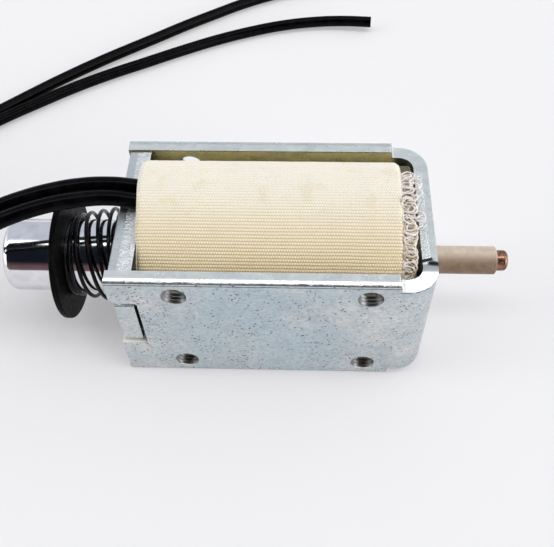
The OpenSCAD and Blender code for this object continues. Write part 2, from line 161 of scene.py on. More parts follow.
class Finish(Nodes):
    """A Principled material. Sizes and places are in millimetres of the piece's own coordinates."""

    def __init__(self, name, colour, rough, metallic=0.0, **sockets):
        self.material = bpy.data.materials.new(name)
        self.material.use_nodes = True
        super().__init__(self.material.node_tree)
        self.shader = self.tree.nodes["Principled BSDF"]
        self.coordinates = self.add("ShaderNodeTexCoord")
        self.colour(colour)
        self.rough(rough)
        self.put(self.shader.inputs["Metallic"], metallic)
        for socket, value in sockets.items():
            self.put(self.shader.inputs[socket.replace("_", " ")], value)

    def stretched(self, scale):
        """Object coordinates, in millimetres, times scale along each axis."""
        node = self.add("ShaderNodeVectorMath", operation="MULTIPLY")
        self.put(node.inputs[0], self.coordinates.outputs["Object"])
        node.inputs[1].default_value = tuple(s / MM for s in scale)
        return node.outputs[0]

    def noise(self, size, detail=3.0, stretch=(1, 1, 1)):
        """Noise from 0 to 1 with features about size millimetres across."""
        node = self.add("ShaderNodeTexNoise")
        self.put(node.inputs["Vector"], self.stretched(stretch))
        node.inputs["Scale"].default_value = 1 / size
        node.inputs["Detail"].default_value = detail
        return node.outputs["Fac"]

    def cells(self, size, stretch=(1, 1, 1)):
        """Distance to the nearest of points about size millimetres apart, as a share of size."""
        node = self.add("ShaderNodeTexVoronoi")
        self.put(node.inputs["Vector"], self.stretched(stretch))
        node.inputs["Scale"].default_value = 1 / size
        return node.outputs["Distance"]

    def axis(self, letter):
        """One object coordinate, in millimetres."""
        return self.split(self.stretched((1, 1, 1)))[letter]

    def normal(self, letter):
        return self.split(self.coordinates.outputs["Normal"])[letter]

    def attribute(self, name):
        return self.add("ShaderNodeAttribute", attribute_name=name)

    def colour(self, value):
        self.base = value
        self.put(self.shader.inputs["Base Color"], value)

    def tint(self, share, colour, most=1.0):
        """Lays colour over the base colour by share, times most."""
        share = share if most == 1.0 else self.math("MULTIPLY", share, most)
        self.colour(self.mix(share, self.base, colour))

    def rough(self, value):
        self.put(self.shader.inputs["Roughness"], value)

    def bump(self, height, depth):
        """height from 0 to 1 stands for depth millimetres."""
        node = self.add("ShaderNodeBump")
        node.inputs["Strength"].default_value = 1.0
        node.inputs["Distance"].default_value = depth * MM
        self.put(node.inputs["Height"], height)
        if self.shader.inputs["Normal"].is_linked:
            self.put(node.inputs["Normal"], self.shader.inputs["Normal"].links[0].from_socket)
        self.put(self.shader.inputs["Normal"], node.outputs[0])


def zinc_pits(f):
    """Dark pits of two sizes, gathered in patches."""
    small = f.product(f.fade(f.cells(0.74, stretch=(0.85, 1, 1)), 0.15, 0.30, 1, 0),
                      f.fade(f.noise(4.5, 3), 0.40, 0.58))
    large = f.product(f.fade(f.cells(1.6), 0.09, 0.16, 1, 0), f.fade(f.noise(3.1, 2), 0.40, 0.50))
    return f.math("MAXIMUM", small, large)


def zinc_rough(f):
    return f.fade(f.noise(2.2, 4), 0.3, 0.75, 0.24, 0.44)


def zinc(name, specks=1.0):
    """Zinc-plated sheet: pale blue-grey, cloudy and grainy, with many small dark pits."""
    f = Finish(name, (0.52, 0.58, 0.61), 0.34, metallic=0.85)
    cloud = f.fade(f.noise(8, 4), 0.36, 0.66)
    grain = f.fade(f.noise(0.55, 5, stretch=(0.7, 1, 1)), 0.34, 0.68)
    middle = f.product(f.band(f.axis("X"), -9, 12, 14), f.fade(f.noise(14, 2), 0.3, 0.6))
    flecks = f.fade(f.noise(0.3, 2), 0.62, 0.74)
    pits = f.product(zinc_pits(f), specks)
    f.colour(f.mix(cloud, (0.54, 0.60, 0.62), (0.68, 0.70, 0.70)))
    f.tint(middle, (0.47, 0.59, 0.66), 0.7)
    f.tint(grain, (0.35, 0.40, 0.43), 0.5)
    f.tint(flecks, (0.72, 0.76, 0.78), 0.35)
    f.tint(pits, (0.05, 0.05, 0.055), 0.9)
    f.rough(zinc_rough(f))
    f.bump(f.noise(0.3, 4), 0.018)
    f.bump(f.math("SUBTRACT", 1.0, pits), 0.04)
    return f


def scratch(f, x, y, start, end, width):
    """1 along a thin straight line from start to end, which are (x, y) places."""
    (ax, ay), (bx, by) = start, end
    long = math.hypot(bx - ax, by - ay)
    ux, uy = (bx - ax) / long, (by - ay) / long
    dx, dy = f.math("SUBTRACT", x, ax), f.math("SUBTRACT", y, ay)
    along = f.math("ADD", f.product(dx, ux), f.product(dy, uy))
    off = f.math("ABSOLUTE", f.math("SUBTRACT", f.product(dx, uy), f.product(dy, ux)))
    return f.product(f.fade(off, width * 0.3, width, 1, 0), f.band(along, 0, long, width))


# Places on the frame in millimetres: its walls' top, their outer faces and the web's inner face
TOP = FRAME_HI[2] / MM
OUT = FRAME_HI[1] / MM
WEB = WEB_X / MM


def rolled_edge_painted_reflection(f):
    """Painted dark reflection: a dark line under the walls' rolled outer edges, which are smoother and slope
    outward.
    """
    wavy = f.math("ADD", f.z, f.product(f.noise(2.2), 0.10))
    # painted dark reflection of the dark front, as a line just under the rolled outer edge
    line = f.band(wavy, TOP - 0.74, TOP - 0.58, 0.07)
    f.tint(f.product(line, f.fade(f.across, OUT - 0.2, OUT - 0.1, 0, 0.85)), (0.02, 0.02, 0.024))
    edge = f.product(f.fade(f.across, OUT - 1.3, OUT - 0.9), f.fade(f.z, TOP - 0.6, TOP - 0.4))
    f.rough(f.math("SUBTRACT", zinc_rough(f), f.product(edge, 0.14)))
    slope = f.product(f.fade(f.across, OUT - 1.35, OUT - 0.45, 1, 0), f.fade(f.z, TOP - 0.3, TOP - 0.1))
    f.bump(slope, 0.22)


def cut_top(f):
    """Paler, streaked metal on the sheet's cut edges."""
    streaks = f.noise(1.4, 4, stretch=(0.4, 1, 1))
    f.tint(f.on_top, f.mix(streaks, (0.55, 0.58, 0.57), (0.83, 0.855, 0.83)))


def painted_inside_reflection(f):
    """The walls' inner faces: a painted reflection of the tape, and painted shade darkening towards the web.
    """
    inside = f.product(f.fade(f.across, OUT - 2.9, OUT - 2.6, 1, 0), f.fade(f.x, WEB - 0.1, WEB + 0.2, 1, 0),
                       f.math("SUBTRACT", 1.0, f.on_top))
    olive = f.mix(f.fade(f.noise(3.0, 3), 0.35, 0.7), (0.60, 0.55, 0.27), (0.44, 0.42, 0.21))
    # painted reflection of the olive tape, fading into painted shade near the web
    f.tint(inside, f.mix(f.fade(f.x, WEB - 4.5, WEB - 2.5), olive, (0.10, 0.10, 0.055)), 0.9)


def torn_web(f, crumbs):
    """Crumbly break along the inner half of the web's punched edge."""
    torn = f.product(f.band(f.x, WEB - 0.2, WEB + 1.5, 0.25),
                     f.fade(f.across, OUT - 7.5, OUT - 6.5, 1, 0), f.on_top)
    f.tint(torn, f.mix(crumbs, (0.60, 0.64, 0.63), (0.93, 0.95, 0.94)), 0.8)
    f.bump(f.product(crumbs, torn), 0.06)


def web_gash(f):
    """Black gash of two strokes across the web's edge, near the front bend."""
    inner = scratch(f, f.x, f.y, (WEB - 0.5, -11.6), (WEB + 1.7, -11.0), 0.55)
    outer = scratch(f, f.x, f.y, (WEB + 1.3, -12.0), (WEB + 3.2, -12.2), 0.7)
    gash = f.product(f.math("MAXIMUM", inner, outer), f.on_top)
    f.tint(gash, (0.015, 0.018, 0.03))
    f.bump(f.math("SUBTRACT", 1.0, gash), 0.35)


def burnished_bend_painted_highlight(f, crumbs):
    """The front bend's top, burnished and sloping to the front; its white is partly a painted highlight."""
    shine = f.product(f.fade(f.x, WEB - 5.6, WEB - 2.4), f.fade(f.y, -14.2, -12.2, 1, 0), f.on_top)
    # near-white colour: partly the burnish, partly a painted highlight
    f.tint(shine, f.mix(crumbs, (0.90, 0.91, 0.91), (1.0, 1.0, 0.99)), 0.9)
    f.bump(f.product(shine, f.fade(f.y, -20, -10)), 2.4)


def painted_lit_ledge(f):
    """Upward faces in the lower half, such as the notches' lower edges: painted pale as lit from above, and
    hardly metallic.
    """
    ledge = f.product(f.on_top, f.fade(f.z, AXIS_Z / MM - 1, AXIS_Z / MM, 1, 0))
    # painted light: the upward ledges painted near white
    f.tint(ledge, (0.98, 0.96, 0.86), 0.95)
    f.put(f.shader.inputs["Metallic"], f.math("SUBTRACT", 0.85, f.product(ledge, 0.8)))


def dark_lines(f):
    """Dark marks: painted contact shade along the walls' foot, a dotted dark line under the set-in web's
    edge, and one long scratch.
    """
    # painted contact shade at the walls' foot
    foot = f.product(f.fade(f.z, 0.3, 0.75, 1, 0), f.fade(f.across, OUT - 0.8, OUT - 0.6))
    f.tint(foot, (0.10, 0.11, 0.12), 0.6)
    # a dotted dark line just under the set-in web's top edge
    web_top = TOP - WEB_INSET / MM
    rim = f.product(f.band(f.z, web_top - 0.36, web_top - 0.14, 0.08), f.fade(f.x, WEB - 5.0, WEB - 4.4),
                    f.math("SUBTRACT", 1.0, f.on_top), f.fade(f.noise(0.8, 3), 0.36, 0.52))
    f.tint(rim, (0.04, 0.045, 0.05), 0.75)
    line = scratch(f, f.x, f.z, (10.5, 26.5), (19.5, 15.5), 0.16)
    f.tint(f.product(line, f.fade(f.noise(1.5, 3), 0.38, 0.6)), (0.16, 0.18, 0.20), 0.4)


def frame_zinc():
    """The frame's sheet, with the marks of punching, bending and handling, and with painted reflections,
    highlights and shade.
    """
    f = zinc("zinc_sheet")
    f.x, f.y, f.z = (f.axis(letter) for letter in "XYZ")
    f.across = f.math("ABSOLUTE", f.y)
    f.on_top = f.fade(f.normal("Z"), 0.6, 0.85)
    crumbs = f.fade(f.noise(0.38, 4), 0.36, 0.66)
    rolled_edge_painted_reflection(f)
    cut_top(f)
    painted_inside_reflection(f)
    torn_web(f, crumbs)
    web_gash(f)
    burnished_bend_painted_highlight(f, crumbs)
    painted_lit_ledge(f)
    dark_lines(f)
    return f.material


def plate_zinc():
    """The end plate: its sheared top has a smooth third and a light rest, torn in short streaks.

    Its faces that look towards the coil are painted black as shade."""
    f = zinc("zinc_plate", specks=0.35)
    split = PLATE_LO[0] / MM + 1.7
    jag = f.math("ADD", f.axis("X"), f.product(f.noise(0.5), 0.5))
    on_top = f.fade(f.normal("Z"), 0.6, 0.85)
    torn = f.product(f.fade(jag, split + 0.1, split + 0.5), on_top)
    streaks = f.fade(f.noise(0.3, 3, stretch=(0.4, 1.6, 1)), 0.36, 0.66)
    f.tint(on_top, (0.62, 0.64, 0.64), 0.6)
    f.tint(torn, f.mix(streaks, (0.62, 0.65, 0.66), (0.97, 0.98, 0.97)), 0.9)
    # painted shade: faces looking along +x painted black
    f.tint(f.fade(f.normal("X"), 0.6, 0.85), (0.02, 0.02, 0.022))
    f.bump(f.product(streaks, torn), 0.045)
    return f.material


def polished_steel():
    f = Finish("polished_steel", (0.80, 0.81, 0.84), 0.09, metallic=1.0)
    rings = f.noise(0.09, 2, stretch=(1, 0.02, 0.02))
    f.rough(f.fade(rings, 0.3, 0.75, 0.06, 0.16))
    f.colour(f.mix(f.fade(f.noise(3, 4), 0.4, 0.75), (0.76, 0.76, 0.79), (0.66, 0.66, 0.69)))
    f.bump(rings, 0.0015)
    return f.material


def black_steel(name, rough, tone, shine):
    """Blackened or painted steel, slightly uneven."""
    f = Finish(name, (tone, tone, tone * 1.08), rough, metallic=0.1, Specular_IOR_Level=shine)
    f.colour(f.mix(f.fade(f.noise(1.6, 5), 0.35, 0.7), (tone, tone, tone * 1.1),
                   (tone * 2.3, tone * 2.3, tone * 2.5)))
    f.rough(f.fade(f.noise(0.8, 4), 0.3, 0.7, rough - 0.06, rough + 0.1))
    f.bump(f.noise(0.3, 4), 0.012)
    return f.material


def lead_rubber():
    f = Finish("lead_sleeve", (0.001, 0.001, 0.0015), 0.2, Specular_IOR_Level=0.055)
    f.colour(f.mix(f.fade(f.noise(2.5, 4), 0.4, 0.7), (0.0008, 0.0008, 0.0012), (0.003, 0.0028, 0.0034)))
    f.rough(f.fade(f.noise(1.1, 3), 0.3, 0.7, 0.14, 0.24))
    f.bump(f.noise(0.4, 4), 0.015)
    return f.material


def tape_dots(f):
    """Wave from 0 to 1 along each rib, shifted by half from one rib to the next."""
    weave = f.split(f.attribute("weave").outputs["Vector"])
    row = f.product(f.math("FLOOR", weave["Y"]), math.pi)
    dots = f.math("SINE", f.math("ADD", f.product(weave["X"], 2 * math.pi), row))
    return f.fade(dots, -0.6, 0.8)


def woven_tape():
    """Cream cotton tape: fine ribs, a dot at each crossing, and faint stains; painted shade makes it tan
    towards the front and darkens its grooves and the hollows between dots.
    """
    f = Finish("woven_tape", (0.88, 0.82, 0.66), 0.85, Sheen_Weight=0.25, Sheen_Roughness=0.5)
    y = f.axis("Y")
    dots = tape_dots(f)
    # painted shade: darker tan towards the front, which gets less light
    f.colour(f.mix(f.fade(y, -14.5, 3, 1, 0), (0.87, 0.82, 0.71), (0.88, 0.765, 0.53)))
    f.tint(f.fade(f.noise(6, 4), 0.35, 0.75), (0.93, 0.87, 0.70), 0.3)
    # painted shade in the grooves: strong in front, faint on top, a little stronger at the back
    depth = f.math("ADD", f.fade(y, -15, 5, 0.9, 0.10), f.fade(y, 9, 14, 0.0, 0.5))
    f.tint(f.product(f.attribute("groove").outputs["Fac"], depth), (0.50, 0.36, 0.17))
    # the weave's pattern, with painted shade between the dots, stronger towards the front
    f.tint(f.product(f.fade(dots, 0.2, 0.9, 1, 0), f.fade(y, -13, 2, 0.34, 0.05)), (0.62, 0.48, 0.28))
    stain = f.product(f.fade(f.noise(4.2, 4), 0.55, 0.70), f.fade(f.noise(0.5, 2), 0.35, 0.6, 0.05, 0.40))
    f.tint(stain, (0.72, 0.60, 0.36))
    f.bump(dots, 0.05)
    f.bump(f.noise(0.25, 3), 0.03)
    return f.material


def thread(name, colour, deep):
    """Loose yarn, its colour varied from loop to loop."""
    f = Finish(name, colour, 0.55, Specular_IOR_Level=0.3, Sheen_Weight=0.15)
    f.colour(f.mix(f.fade(f.noise(0.9, 3), 0.35, 0.7), colour, deep))
    f.bump(f.noise(0.12, 3), 0.012)
    return f.material


def fringe_felt():
    """The tape's edge under the loops: whitish at the back, olive and brown in front, with painted shade:
    dark patches between the loops and a dark band behind them.
    """
    f = Finish("fringe_felt", (0.6, 0.56, 0.48), 0.8, Specular_IOR_Level=0.2)
    y = f.axis("Y")
    # the dark ends of both mixes are painted shade seen between the loops
    pale = f.mix(f.fade(f.noise(0.5, 4), 0.38, 0.62), (0.26, 0.22, 0.17), (0.74, 0.68, 0.64))
    brown = f.mix(f.fade(f.noise(0.6, 4), 0.38, 0.62), (0.07, 0.05, 0.02), (0.50, 0.43, 0.25))
    base = f.mix(f.fade(y, -5, 3), brown, pale)
    # painted shade: the felt turns nearly black behind the loops, in the gap
    f.colour(f.mix(f.fade(y, 6.2, 7.2), base, (0.11, 0.10, 0.06)))
    f.bump(f.noise(0.3, 4), 0.12)
    return f.material


def fibre_board():
    f = Finish("fibre_board", (0.36, 0.26, 0.12), 0.7)
    f.colour(f.mix(f.noise(0.6, 5, stretch=(3, 1, 1)), (0.28, 0.20, 0.09), (0.46, 0.35, 0.17)))
    f.bump(f.noise(0.3, 4), 0.03)
    return f.material


def brown_sleeve():
    """Beige-brown shrunk sleeve, with painted shade: darker on the side towards the front."""
    f = Finish("rod_sleeve", (0.42, 0.33, 0.26), 0.48)
    # painted shade: beige on the upper back side, brown on the lower front side
    base = f.mix(f.fade(f.axis("Y"), -2.9, 0.2), (0.19, 0.115, 0.065), (0.62, 0.51, 0.41))
    f.colour(base)
    f.tint(f.fade(f.noise(1.2, 4), 0.35, 0.7), (0.38, 0.27, 0.19), 0.35)
    f.rough(f.fade(f.noise(1.0, 3), 0.3, 0.7, 0.38, 0.55))
    f.bump(f.noise(0.35, 3), 0.02)
    return f.material


def copper_rod():
    f = Finish("copper_rod", (0.70, 0.40, 0.26), 0.24, metallic=1.0)
    f.colour(f.mix(f.fade(f.noise(0.9, 4), 0.35, 0.7), (0.34, 0.19, 0.125), (0.16, 0.085, 0.055)))
    f.rough(f.fade(f.noise(0.5, 3), 0.3, 0.7, 0.18, 0.36))
    f.bump(f.noise(0.12, 2, stretch=(1, 0.05, 0.05)), 0.004)
    return f.material


def brass():
    f = Finish("brass", (0.78, 0.60, 0.30), 0.28, metallic=1.0)
    f.colour(f.mix(f.fade(f.noise(2, 4), 0.35, 0.7), (0.80, 0.62, 0.30), (0.62, 0.44, 0.20)))
    f.bump(f.noise(0.15, 2, stretch=(1, 0.05, 0.05)), 0.004)
    return f.material


def copper_winding():
    """Enamelled wire, laid turn by turn."""
    f = Finish("copper_winding", (0.55, 0.24, 0.09), 0.3, metallic=0.8, Coat_Weight=0.4)
    wave = f.add("ShaderNodeTexWave", bands_direction="X")
    f.put(wave.inputs["Vector"], f.stretched((1, 1, 1)))
    wave.inputs["Scale"].default_value = 0.9
    f.colour(f.mix(wave.outputs["Fac"], (0.30, 0.11, 0.04), (0.70, 0.34, 0.14)))
    f.bump(wave.outputs["Fac"], 0.15)
    return f.material


def soft_lining(name, light, dark):
    f = Finish(name, light, 0.9)
    f.colour(f.mix(f.noise(0.8, 5), light, dark))
    f.bump(f.noise(0.3, 4), 0.05)
    return f.material


def turned_steel(name, tone):
    f = Finish(name, (tone, tone, tone * 1.02), 0.34, metallic=1.0)
    f.colour(f.mix(f.fade(f.noise(1.8, 4), 0.35, 0.7), (tone, tone, tone * 1.03),
                   (tone * 0.7, tone * 0.7, tone * 0.72)))
    f.bump(f.noise(0.2, 2, stretch=(1, 0.05, 0.05)), 0.006)
    return f.material


# ---------------------------------------------------------------- mesh helpers

def add_object(name, data, material, body):
    data.materials.append(material)
    obj = bpy.data.objects.new(name, data)
    bpy.context.collection.objects.link(obj)
    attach(obj, body)
    return obj


def add_mesh(name, verts, faces, material, body, sharp=35):
    mesh = bpy.data.meshes.new(name)
    mesh.from_pydata(verts, [], faces)
    mesh.validate()
    mesh.shade_smooth()
    mesh.set_sharp_from_angle(angle=math.radians(sharp))
    return add_object(name, mesh, material, body)


def grid_faces(rows, columns, close_rows=False):
    """Faces between rings of points, each of columns points. close_rows joins the last ring to the first."""
    faces = []
    for i in range(rows if close_rows else rows - 1):
        for k in range(columns):
            j, m = (i + 1) % rows, (k + 1) % columns
            faces.append((i * columns + k, j * columns + k, j * columns + m, i * columns + m))
    return faces


def lathe(name, profile, material, body, segments):
    """Closed outline of (x, radius) points, turned round the plunger axis."""
    verts = []
    for x, r in profile:
        for k in range(segments):
            a = 2 * math.pi * k / segments
            verts.append((x, r * math.cos(a), AXIS_Z + r * math.sin(a)))
    faces = grid_faces(len(profile), segments, close_rows=True)
    return add_mesh(name, verts, faces, material, body)


def arc(x, r, radius, start, end, steps):
    """Points on a rounded edge of a turned outline, angles in degrees from +x towards +r."""
    angles = [math.radians(start + (end - start) * i / steps) for i in range(steps + 1)]
    return [(x + radius * math.cos(a), r + radius * math.sin(a)) for a in angles]


def bar(points, radius, sides, closed=False):
    """Verts and faces of a round bar along points. radius is a number or one for each point."""
    count = len(points)
    radii = [radius] * count if isinstance(radius, float) else radius
    verts = []
    side = None
    for i, p in enumerate(points):
        before = points[i - 1] if closed or i else p
        after = points[(i + 1) % count] if closed or i < count - 1 else p
        along = (after - before).normalized()
        if side is None:
            side = along.cross(Vector((0.3, 0.5, 0.81))).normalized()
        side = (side - along * side.dot(along)).normalized()
        up = along.cross(side)
        for k in range(sides):
            a = 2 * math.pi * k / sides
            verts.append(p + radii[i] * (math.cos(a) * side + math.sin(a) * up))
    faces = grid_faces(count, sides, close_rows=closed)
    if not closed:
        faces.append(tuple(range(sides)))
        faces.append(tuple(range((count - 1) * sides, count * sides))[::-1])
    return verts, faces


def join(parts):
    """One list of verts and one of faces for several (verts, faces)."""
    verts, faces = [], []
    for v, f in parts:
        faces += [tuple(i + len(verts) for i in face) for face in f]
        verts += v
    return verts, faces


def round_edges(obj, width):
    """Small rounded edges on a CAD piece, by modifiers, which leave its mesh as it is.

    The first two clear the facets' stray points and lines, so that the third finds whole edges."""
    weld = obj.modifiers.new("weld", "WELD")
    weld.merge_threshold = 0.002 * MM
    flat = obj.modifiers.new("flat", "DECIMATE")
    flat.decimate_type = "DISSOLVE"
    flat.angle_limit = math.radians(0.5)
    bevel = obj.modifiers.new("edges", "BEVEL")
    bevel.width = width
    bevel.segments = 3
    bevel.limit_method = "ANGLE"
    bevel.angle_limit = math.radians(40)
    bevel.harden_normals = True


def dress(node, material, edges=0.0):
    """Gives a CAD node its material, and small rounded edges if it has a width for them."""
    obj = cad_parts[node]
    obj.data.materials.clear()
    obj.data.materials.append(material)
    if edges:
        round_edges(obj, edges)


# ---------------------------------------------------------------- leads

# Middle lines of the two leads in millimetres, from the joint under the tape to the far end
LEAD_R = 1.6 * MM
LEAD_A = [(-16.05, 4, 34.5), (-22.65, 4, 34.5), (-29, 4.2, 35), (-35, 3.2, 35.7),
    (-41, 1.2, 36.2), (-47, -1.2, 36.1), (-53, -3.6, 35.3), (-60, -5.2, 33.8),
    (-67.5, -5, 31), (-75.5, -2.3, 26.5), (-83, 3.2, 20.8), (-88.6, 11, 14.8),
    (-91.6, 20.3, 9.2), (-92, 30, 4.9), (-89.9, 39.3, 2.4), (-85.8, 47.6, 1.7),
    (-81, 54, 1.7), (-75, 59.2, 1.7), (-66.2, 65.8, 1.7), (-57.8, 71.8, 1.7),
    (-48.2, 77.8, 1.7), (-38.1, 83.3, 1.7), (-28.2, 88.7, 1.7), (-17, 94.3, 1.7),
    (-7, 98.4, 1.7), (3, 101.4, 1.8), (12.8, 102.9, 2), (21.5, 103, 2.3), (30, 102, 2.7)]
LEAD_B = [(-16.05, 0.2, 34.5), (-22.65, 0.2, 34.5), (-29, 0.3, 35.3), (-35, -1.1, 36.2),
    (-41, -3.3, 36.8), (-47, -6, 36.7), (-53, -8.9, 35.9), (-60.5, -10.8, 34.4),
    (-68.6, -10.6, 32), (-77.6, -7.6, 28.7), (-86, -1.4, 24.2), (-92.3, 7.6, 18.6),
    (-95.8, 18, 12.6), (-96.4, 29, 7.4), (-94.2, 40, 3.8), (-89.6, 49.2, 2.1),
    (-83.8, 56.4, 1.7), (-76.8, 62.3, 1.7), (-69.6, 68.8, 1.7), (-62, 75.5, 1.7),
    (-51.6, 83.9, 1.7), (-44, 89.5, 1.7), (-36, 95.2, 1.7), (-28, 101, 1.7), (-19, 107, 1.7),
    (-9.8, 112.8, 1.7), (0, 117.6, 1.7), (10, 121, 1.7), (19, 122.8, 1.7)]


def make_lead(name, node, route, material):
    curve = bpy.data.curves.new(name, "CURVE")
    curve.dimensions = "3D"
    curve.bevel_depth = LEAD_R
    curve.bevel_resolution = 7
    curve.resolution_u = 8
    curve.use_fill_caps = True
    spline = curve.splines.new("BEZIER")
    spline.bezier_points.add(len(route) - 1)
    for point, place in zip(spline.bezier_points, route):
        point.co = Vector(place) * MM
        point.handle_left_type = point.handle_right_type = "AUTO"
    lead = add_object(name, curve, material, HOUSING)
    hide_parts(node)


SLEEVE_BLACK = lead_rubber()
make_lead("lead_a_sleeve", "lead_a", LEAD_A, SLEEVE_BLACK)
make_lead("lead_b_sleeve", "lead_b", LEAD_B, SLEEVE_BLACK)


# ---------------------------------------------------------------- taped coil

COIL_R = (WRAP_HI[1] - WRAP_LO[1]) / 2
ARCH_R = 24 * MM
ARCH_Y, ARCH_Z = 3.4 * MM, WRAP_HI[2] - ARCH_R
RIB_PITCH = 0.66 * MM
DOT_PITCH = 0.52 * MM
RIB_DEPTH = 0.10 * MM
TAPE_T = 0.5 * MM
TAPE_ROLL = 0.9 * MM
TAPE_LAP = 1.3 * MM
TAPE_LEFT = WRAP_LO[0] + TAPE_LAP
TAPE_L = WRAP_HI[0] - TAPE_LEFT


def shoulder(side, r):
    """Circle (y, z, r) that touches the side wall's line and the arch from inside."""
    y = side * (COIL_R - r)
    return y, ARCH_Z + math.sqrt((ARCH_R - r) ** 2 - (y - ARCH_Y) ** 2), r


BACK_SHOULDER = shoulder(1, 12 * MM)
FRONT_SHOULDER = shoulder(-1, 6 * MM)
BACK_END = math.atan2(BACK_SHOULDER[1] - ARCH_Z, BACK_SHOULDER[0] - ARCH_Y)
ARCH_END = math.atan2(FRONT_SHOULDER[1] - ARCH_Z, FRONT_SHOULDER[0] - ARCH_Y)


def outline_circle(a):
    """The circle (y, z, r) that the taped coil's outline follows where its normal has angle a."""
    if 0 <= a < BACK_END:
        return BACK_SHOULDER
    if BACK_END <= a < ARCH_END:
        return ARCH_Y, ARCH_Z, ARCH_R
    if ARCH_END <= a <= math.pi:
        return FRONT_SHOULDER
    return 0.0, AXIS_Z, COIL_R


def coil_outline(inset, count):
    """count points, evenly spaced round the taped coil, and its length round.

    Each is (y, z, outward y, outward z, length so far)."""
    steps = 2880
    fine = []
    for i in range(steps):
        a = -math.pi / 2 + 2 * math.pi * i / steps
        ny, nz = math.cos(a), math.sin(a)
        y, z, r = outline_circle(a)
        fine.append((y + (r - inset) * ny, z + (r - inset) * nz, ny, nz))
    fine.append(fine[0])
    lengths = [0.0]
    for p, q in zip(fine, fine[1:]):
        lengths.append(lengths[-1] + math.dist(p[:2], q[:2]))
    outline = []
    j = 0
    for i in range(count):
        s = lengths[-1] * i / count
        while lengths[j + 1] < s:
            j += 1
        t = (s - lengths[j]) / max(lengths[j + 1] - lengths[j], 1e-12)
        p, q = fine[j], fine[j + 1]
        y, z, ny, nz = (a * (1 - t) + b * t for a, b in zip(p, q))
        size = math.hypot(ny, nz)
        outline.append((y, z, ny / size, nz / size, s))
    return outline, lengths[-1]


def smooth(t):
    t = max(0.0, min(1.0, t))
    return t * t * (3 - 2 * t)


def lap(y, z):
    """How far the tape's edge stands over the end plate where its outline passes through y and z.

    It grows from nothing at the plate's top, and from front to back."""
    over_plate = smooth((z - PLATE_HI[2] - 0.25 * MM) / (0.5 * MM))
    return TAPE_LAP * over_plate * (0.25 + 0.6 * smooth((y + 12 * MM) / (22 * MM)))


def tape_stations():
    """(place along the tape, depth below its surface) of each ring of points: both ends are rolled in."""
    angles = [math.radians(d) for d in (15, 35, 55, 75)]
    rolled = [(TAPE_ROLL * (1 - math.cos(a)), TAPE_ROLL * (1 - math.sin(a)) * 0.8) for a in angles]
    middle = 44
    step = (TAPE_L - 2 * TAPE_ROLL) / middle
    stations = [(0.0, TAPE_T)] + rolled
    stations += [(TAPE_ROLL + step * i, 0.0) for i in range(middle + 1)]
    stations += [(TAPE_L - x, sink) for x, sink in reversed(rolled)]
    return stations + [(TAPE_L, TAPE_T)]


def tape_point(x, sink, place, pitch):
    """A point of the tape's outside, its share of a groove and its place in the weave."""
    y, z, ny, nz, s = place
    on_left = x < TAPE_L / 2
    phase = s / pitch + 0.10 * noise.noise(Vector((x / (9 * MM), s / (14 * MM), 0.0)))
    groove = abs(math.cos(math.pi * phase)) ** 5
    over = lap(y, z) if on_left else 0.0
    ragged = 0.16 * MM * (1 + noise.noise(Vector((s / (5 * MM), 3.7, 0.0)))) * (1 if on_left else -1)
    pull = (ragged - over) * (1 - min(1.0, min(x, TAPE_L - x) / (4 * MM)))
    sunk = min(sink, TAPE_T * (1 - 0.4 * over / TAPE_LAP)) if on_left else sink
    uneven = 0.04 * MM * (1 + noise.noise(Vector((x / (4 * MM), s / (6 * MM), 9.0))))
    deep = sunk + RIB_DEPTH * groove + uneven
    return (TAPE_LEFT + x + pull, y - ny * deep, z - nz * deep), groove, (x / DOT_PITCH, phase, 0.0)


def make_wrap():
    """Tape round the coil, with its ribs as real relief and its ends rolled in."""
    around = coil_outline(0, 8)[1]
    ribs = round(around / RIB_PITCH)
    outline, _ = coil_outline(0, ribs * 8)
    stations = tape_stations()
    points = [tape_point(x, sink, place, around / ribs) for x, sink in stations for place in outline]
    for end, along in ((WRAP_HI[0] - 0.6 * MM, 0.0), (TAPE_LEFT + 0.6 * MM, 1.0)):
        points += [((end - along * lap(y, z), y - ny * TAPE_T, z - nz * TAPE_T), 1.0, (0.0, 0.0, 0.0))
                   for y, z, ny, nz, _ in outline]
    verts, groove, weave = zip(*points)
    faces = grid_faces(len(stations) + 2, len(outline), close_rows=True)
    wrap = add_mesh("woven_tape_wrap", verts, faces, woven_tape(), HOUSING, sharp=80)
    wrap.data.attributes.new("groove", "FLOAT", "POINT").data.foreach_set("value", groove)
    flat = [c for w in weave for c in w]
    wrap.data.attributes.new("weave", "FLOAT_VECTOR", "POINT").data.foreach_set("vector", flat)
    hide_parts("coil_wrap")


make_wrap()


# The loops' place: from the tape's edge on, above FRINGE_Z and in front of FRINGE_Y
FRINGE_X = WRAP_HI[0] - 0.1 * MM
FRINGE_Z = AXIS_Z + 8 * MM
FRINGE_Y = 6.6 * MM


def loop_path(draw, root, centre, out, size):
    """Points of one loose loop: from its root at the tape's edge, round its centre, and on a little."""
    along = Vector((1, 0, 0))
    round_way = out.cross(along)
    tilt = Matrix.Rotation(draw.uniform(-0.35, 0.35), 3, round_way)
    tilt = tilt @ Matrix.Rotation(draw.uniform(-0.4, 0.4), 3, along)
    u, v = tilt @ along, tilt @ round_way
    start = draw.uniform(math.pi * 0.6, math.pi * 1.4)
    way = draw.choice((-1, 1))
    turns = draw.uniform(0.9, 1.3)
    squeeze = draw.uniform(0.75, 1.05)
    points = [root]
    for k in range(int(18 * turns) + 1):
        a = start + way * 2 * math.pi * k / 18
        grow = size * (1 + 0.10 * math.sin(2 * a + start) - 0.008 * k)
        points.append(centre + grow * (math.cos(a) * u + squeeze * math.sin(a) * v) + out * 0.010 * MM * k)
    return points


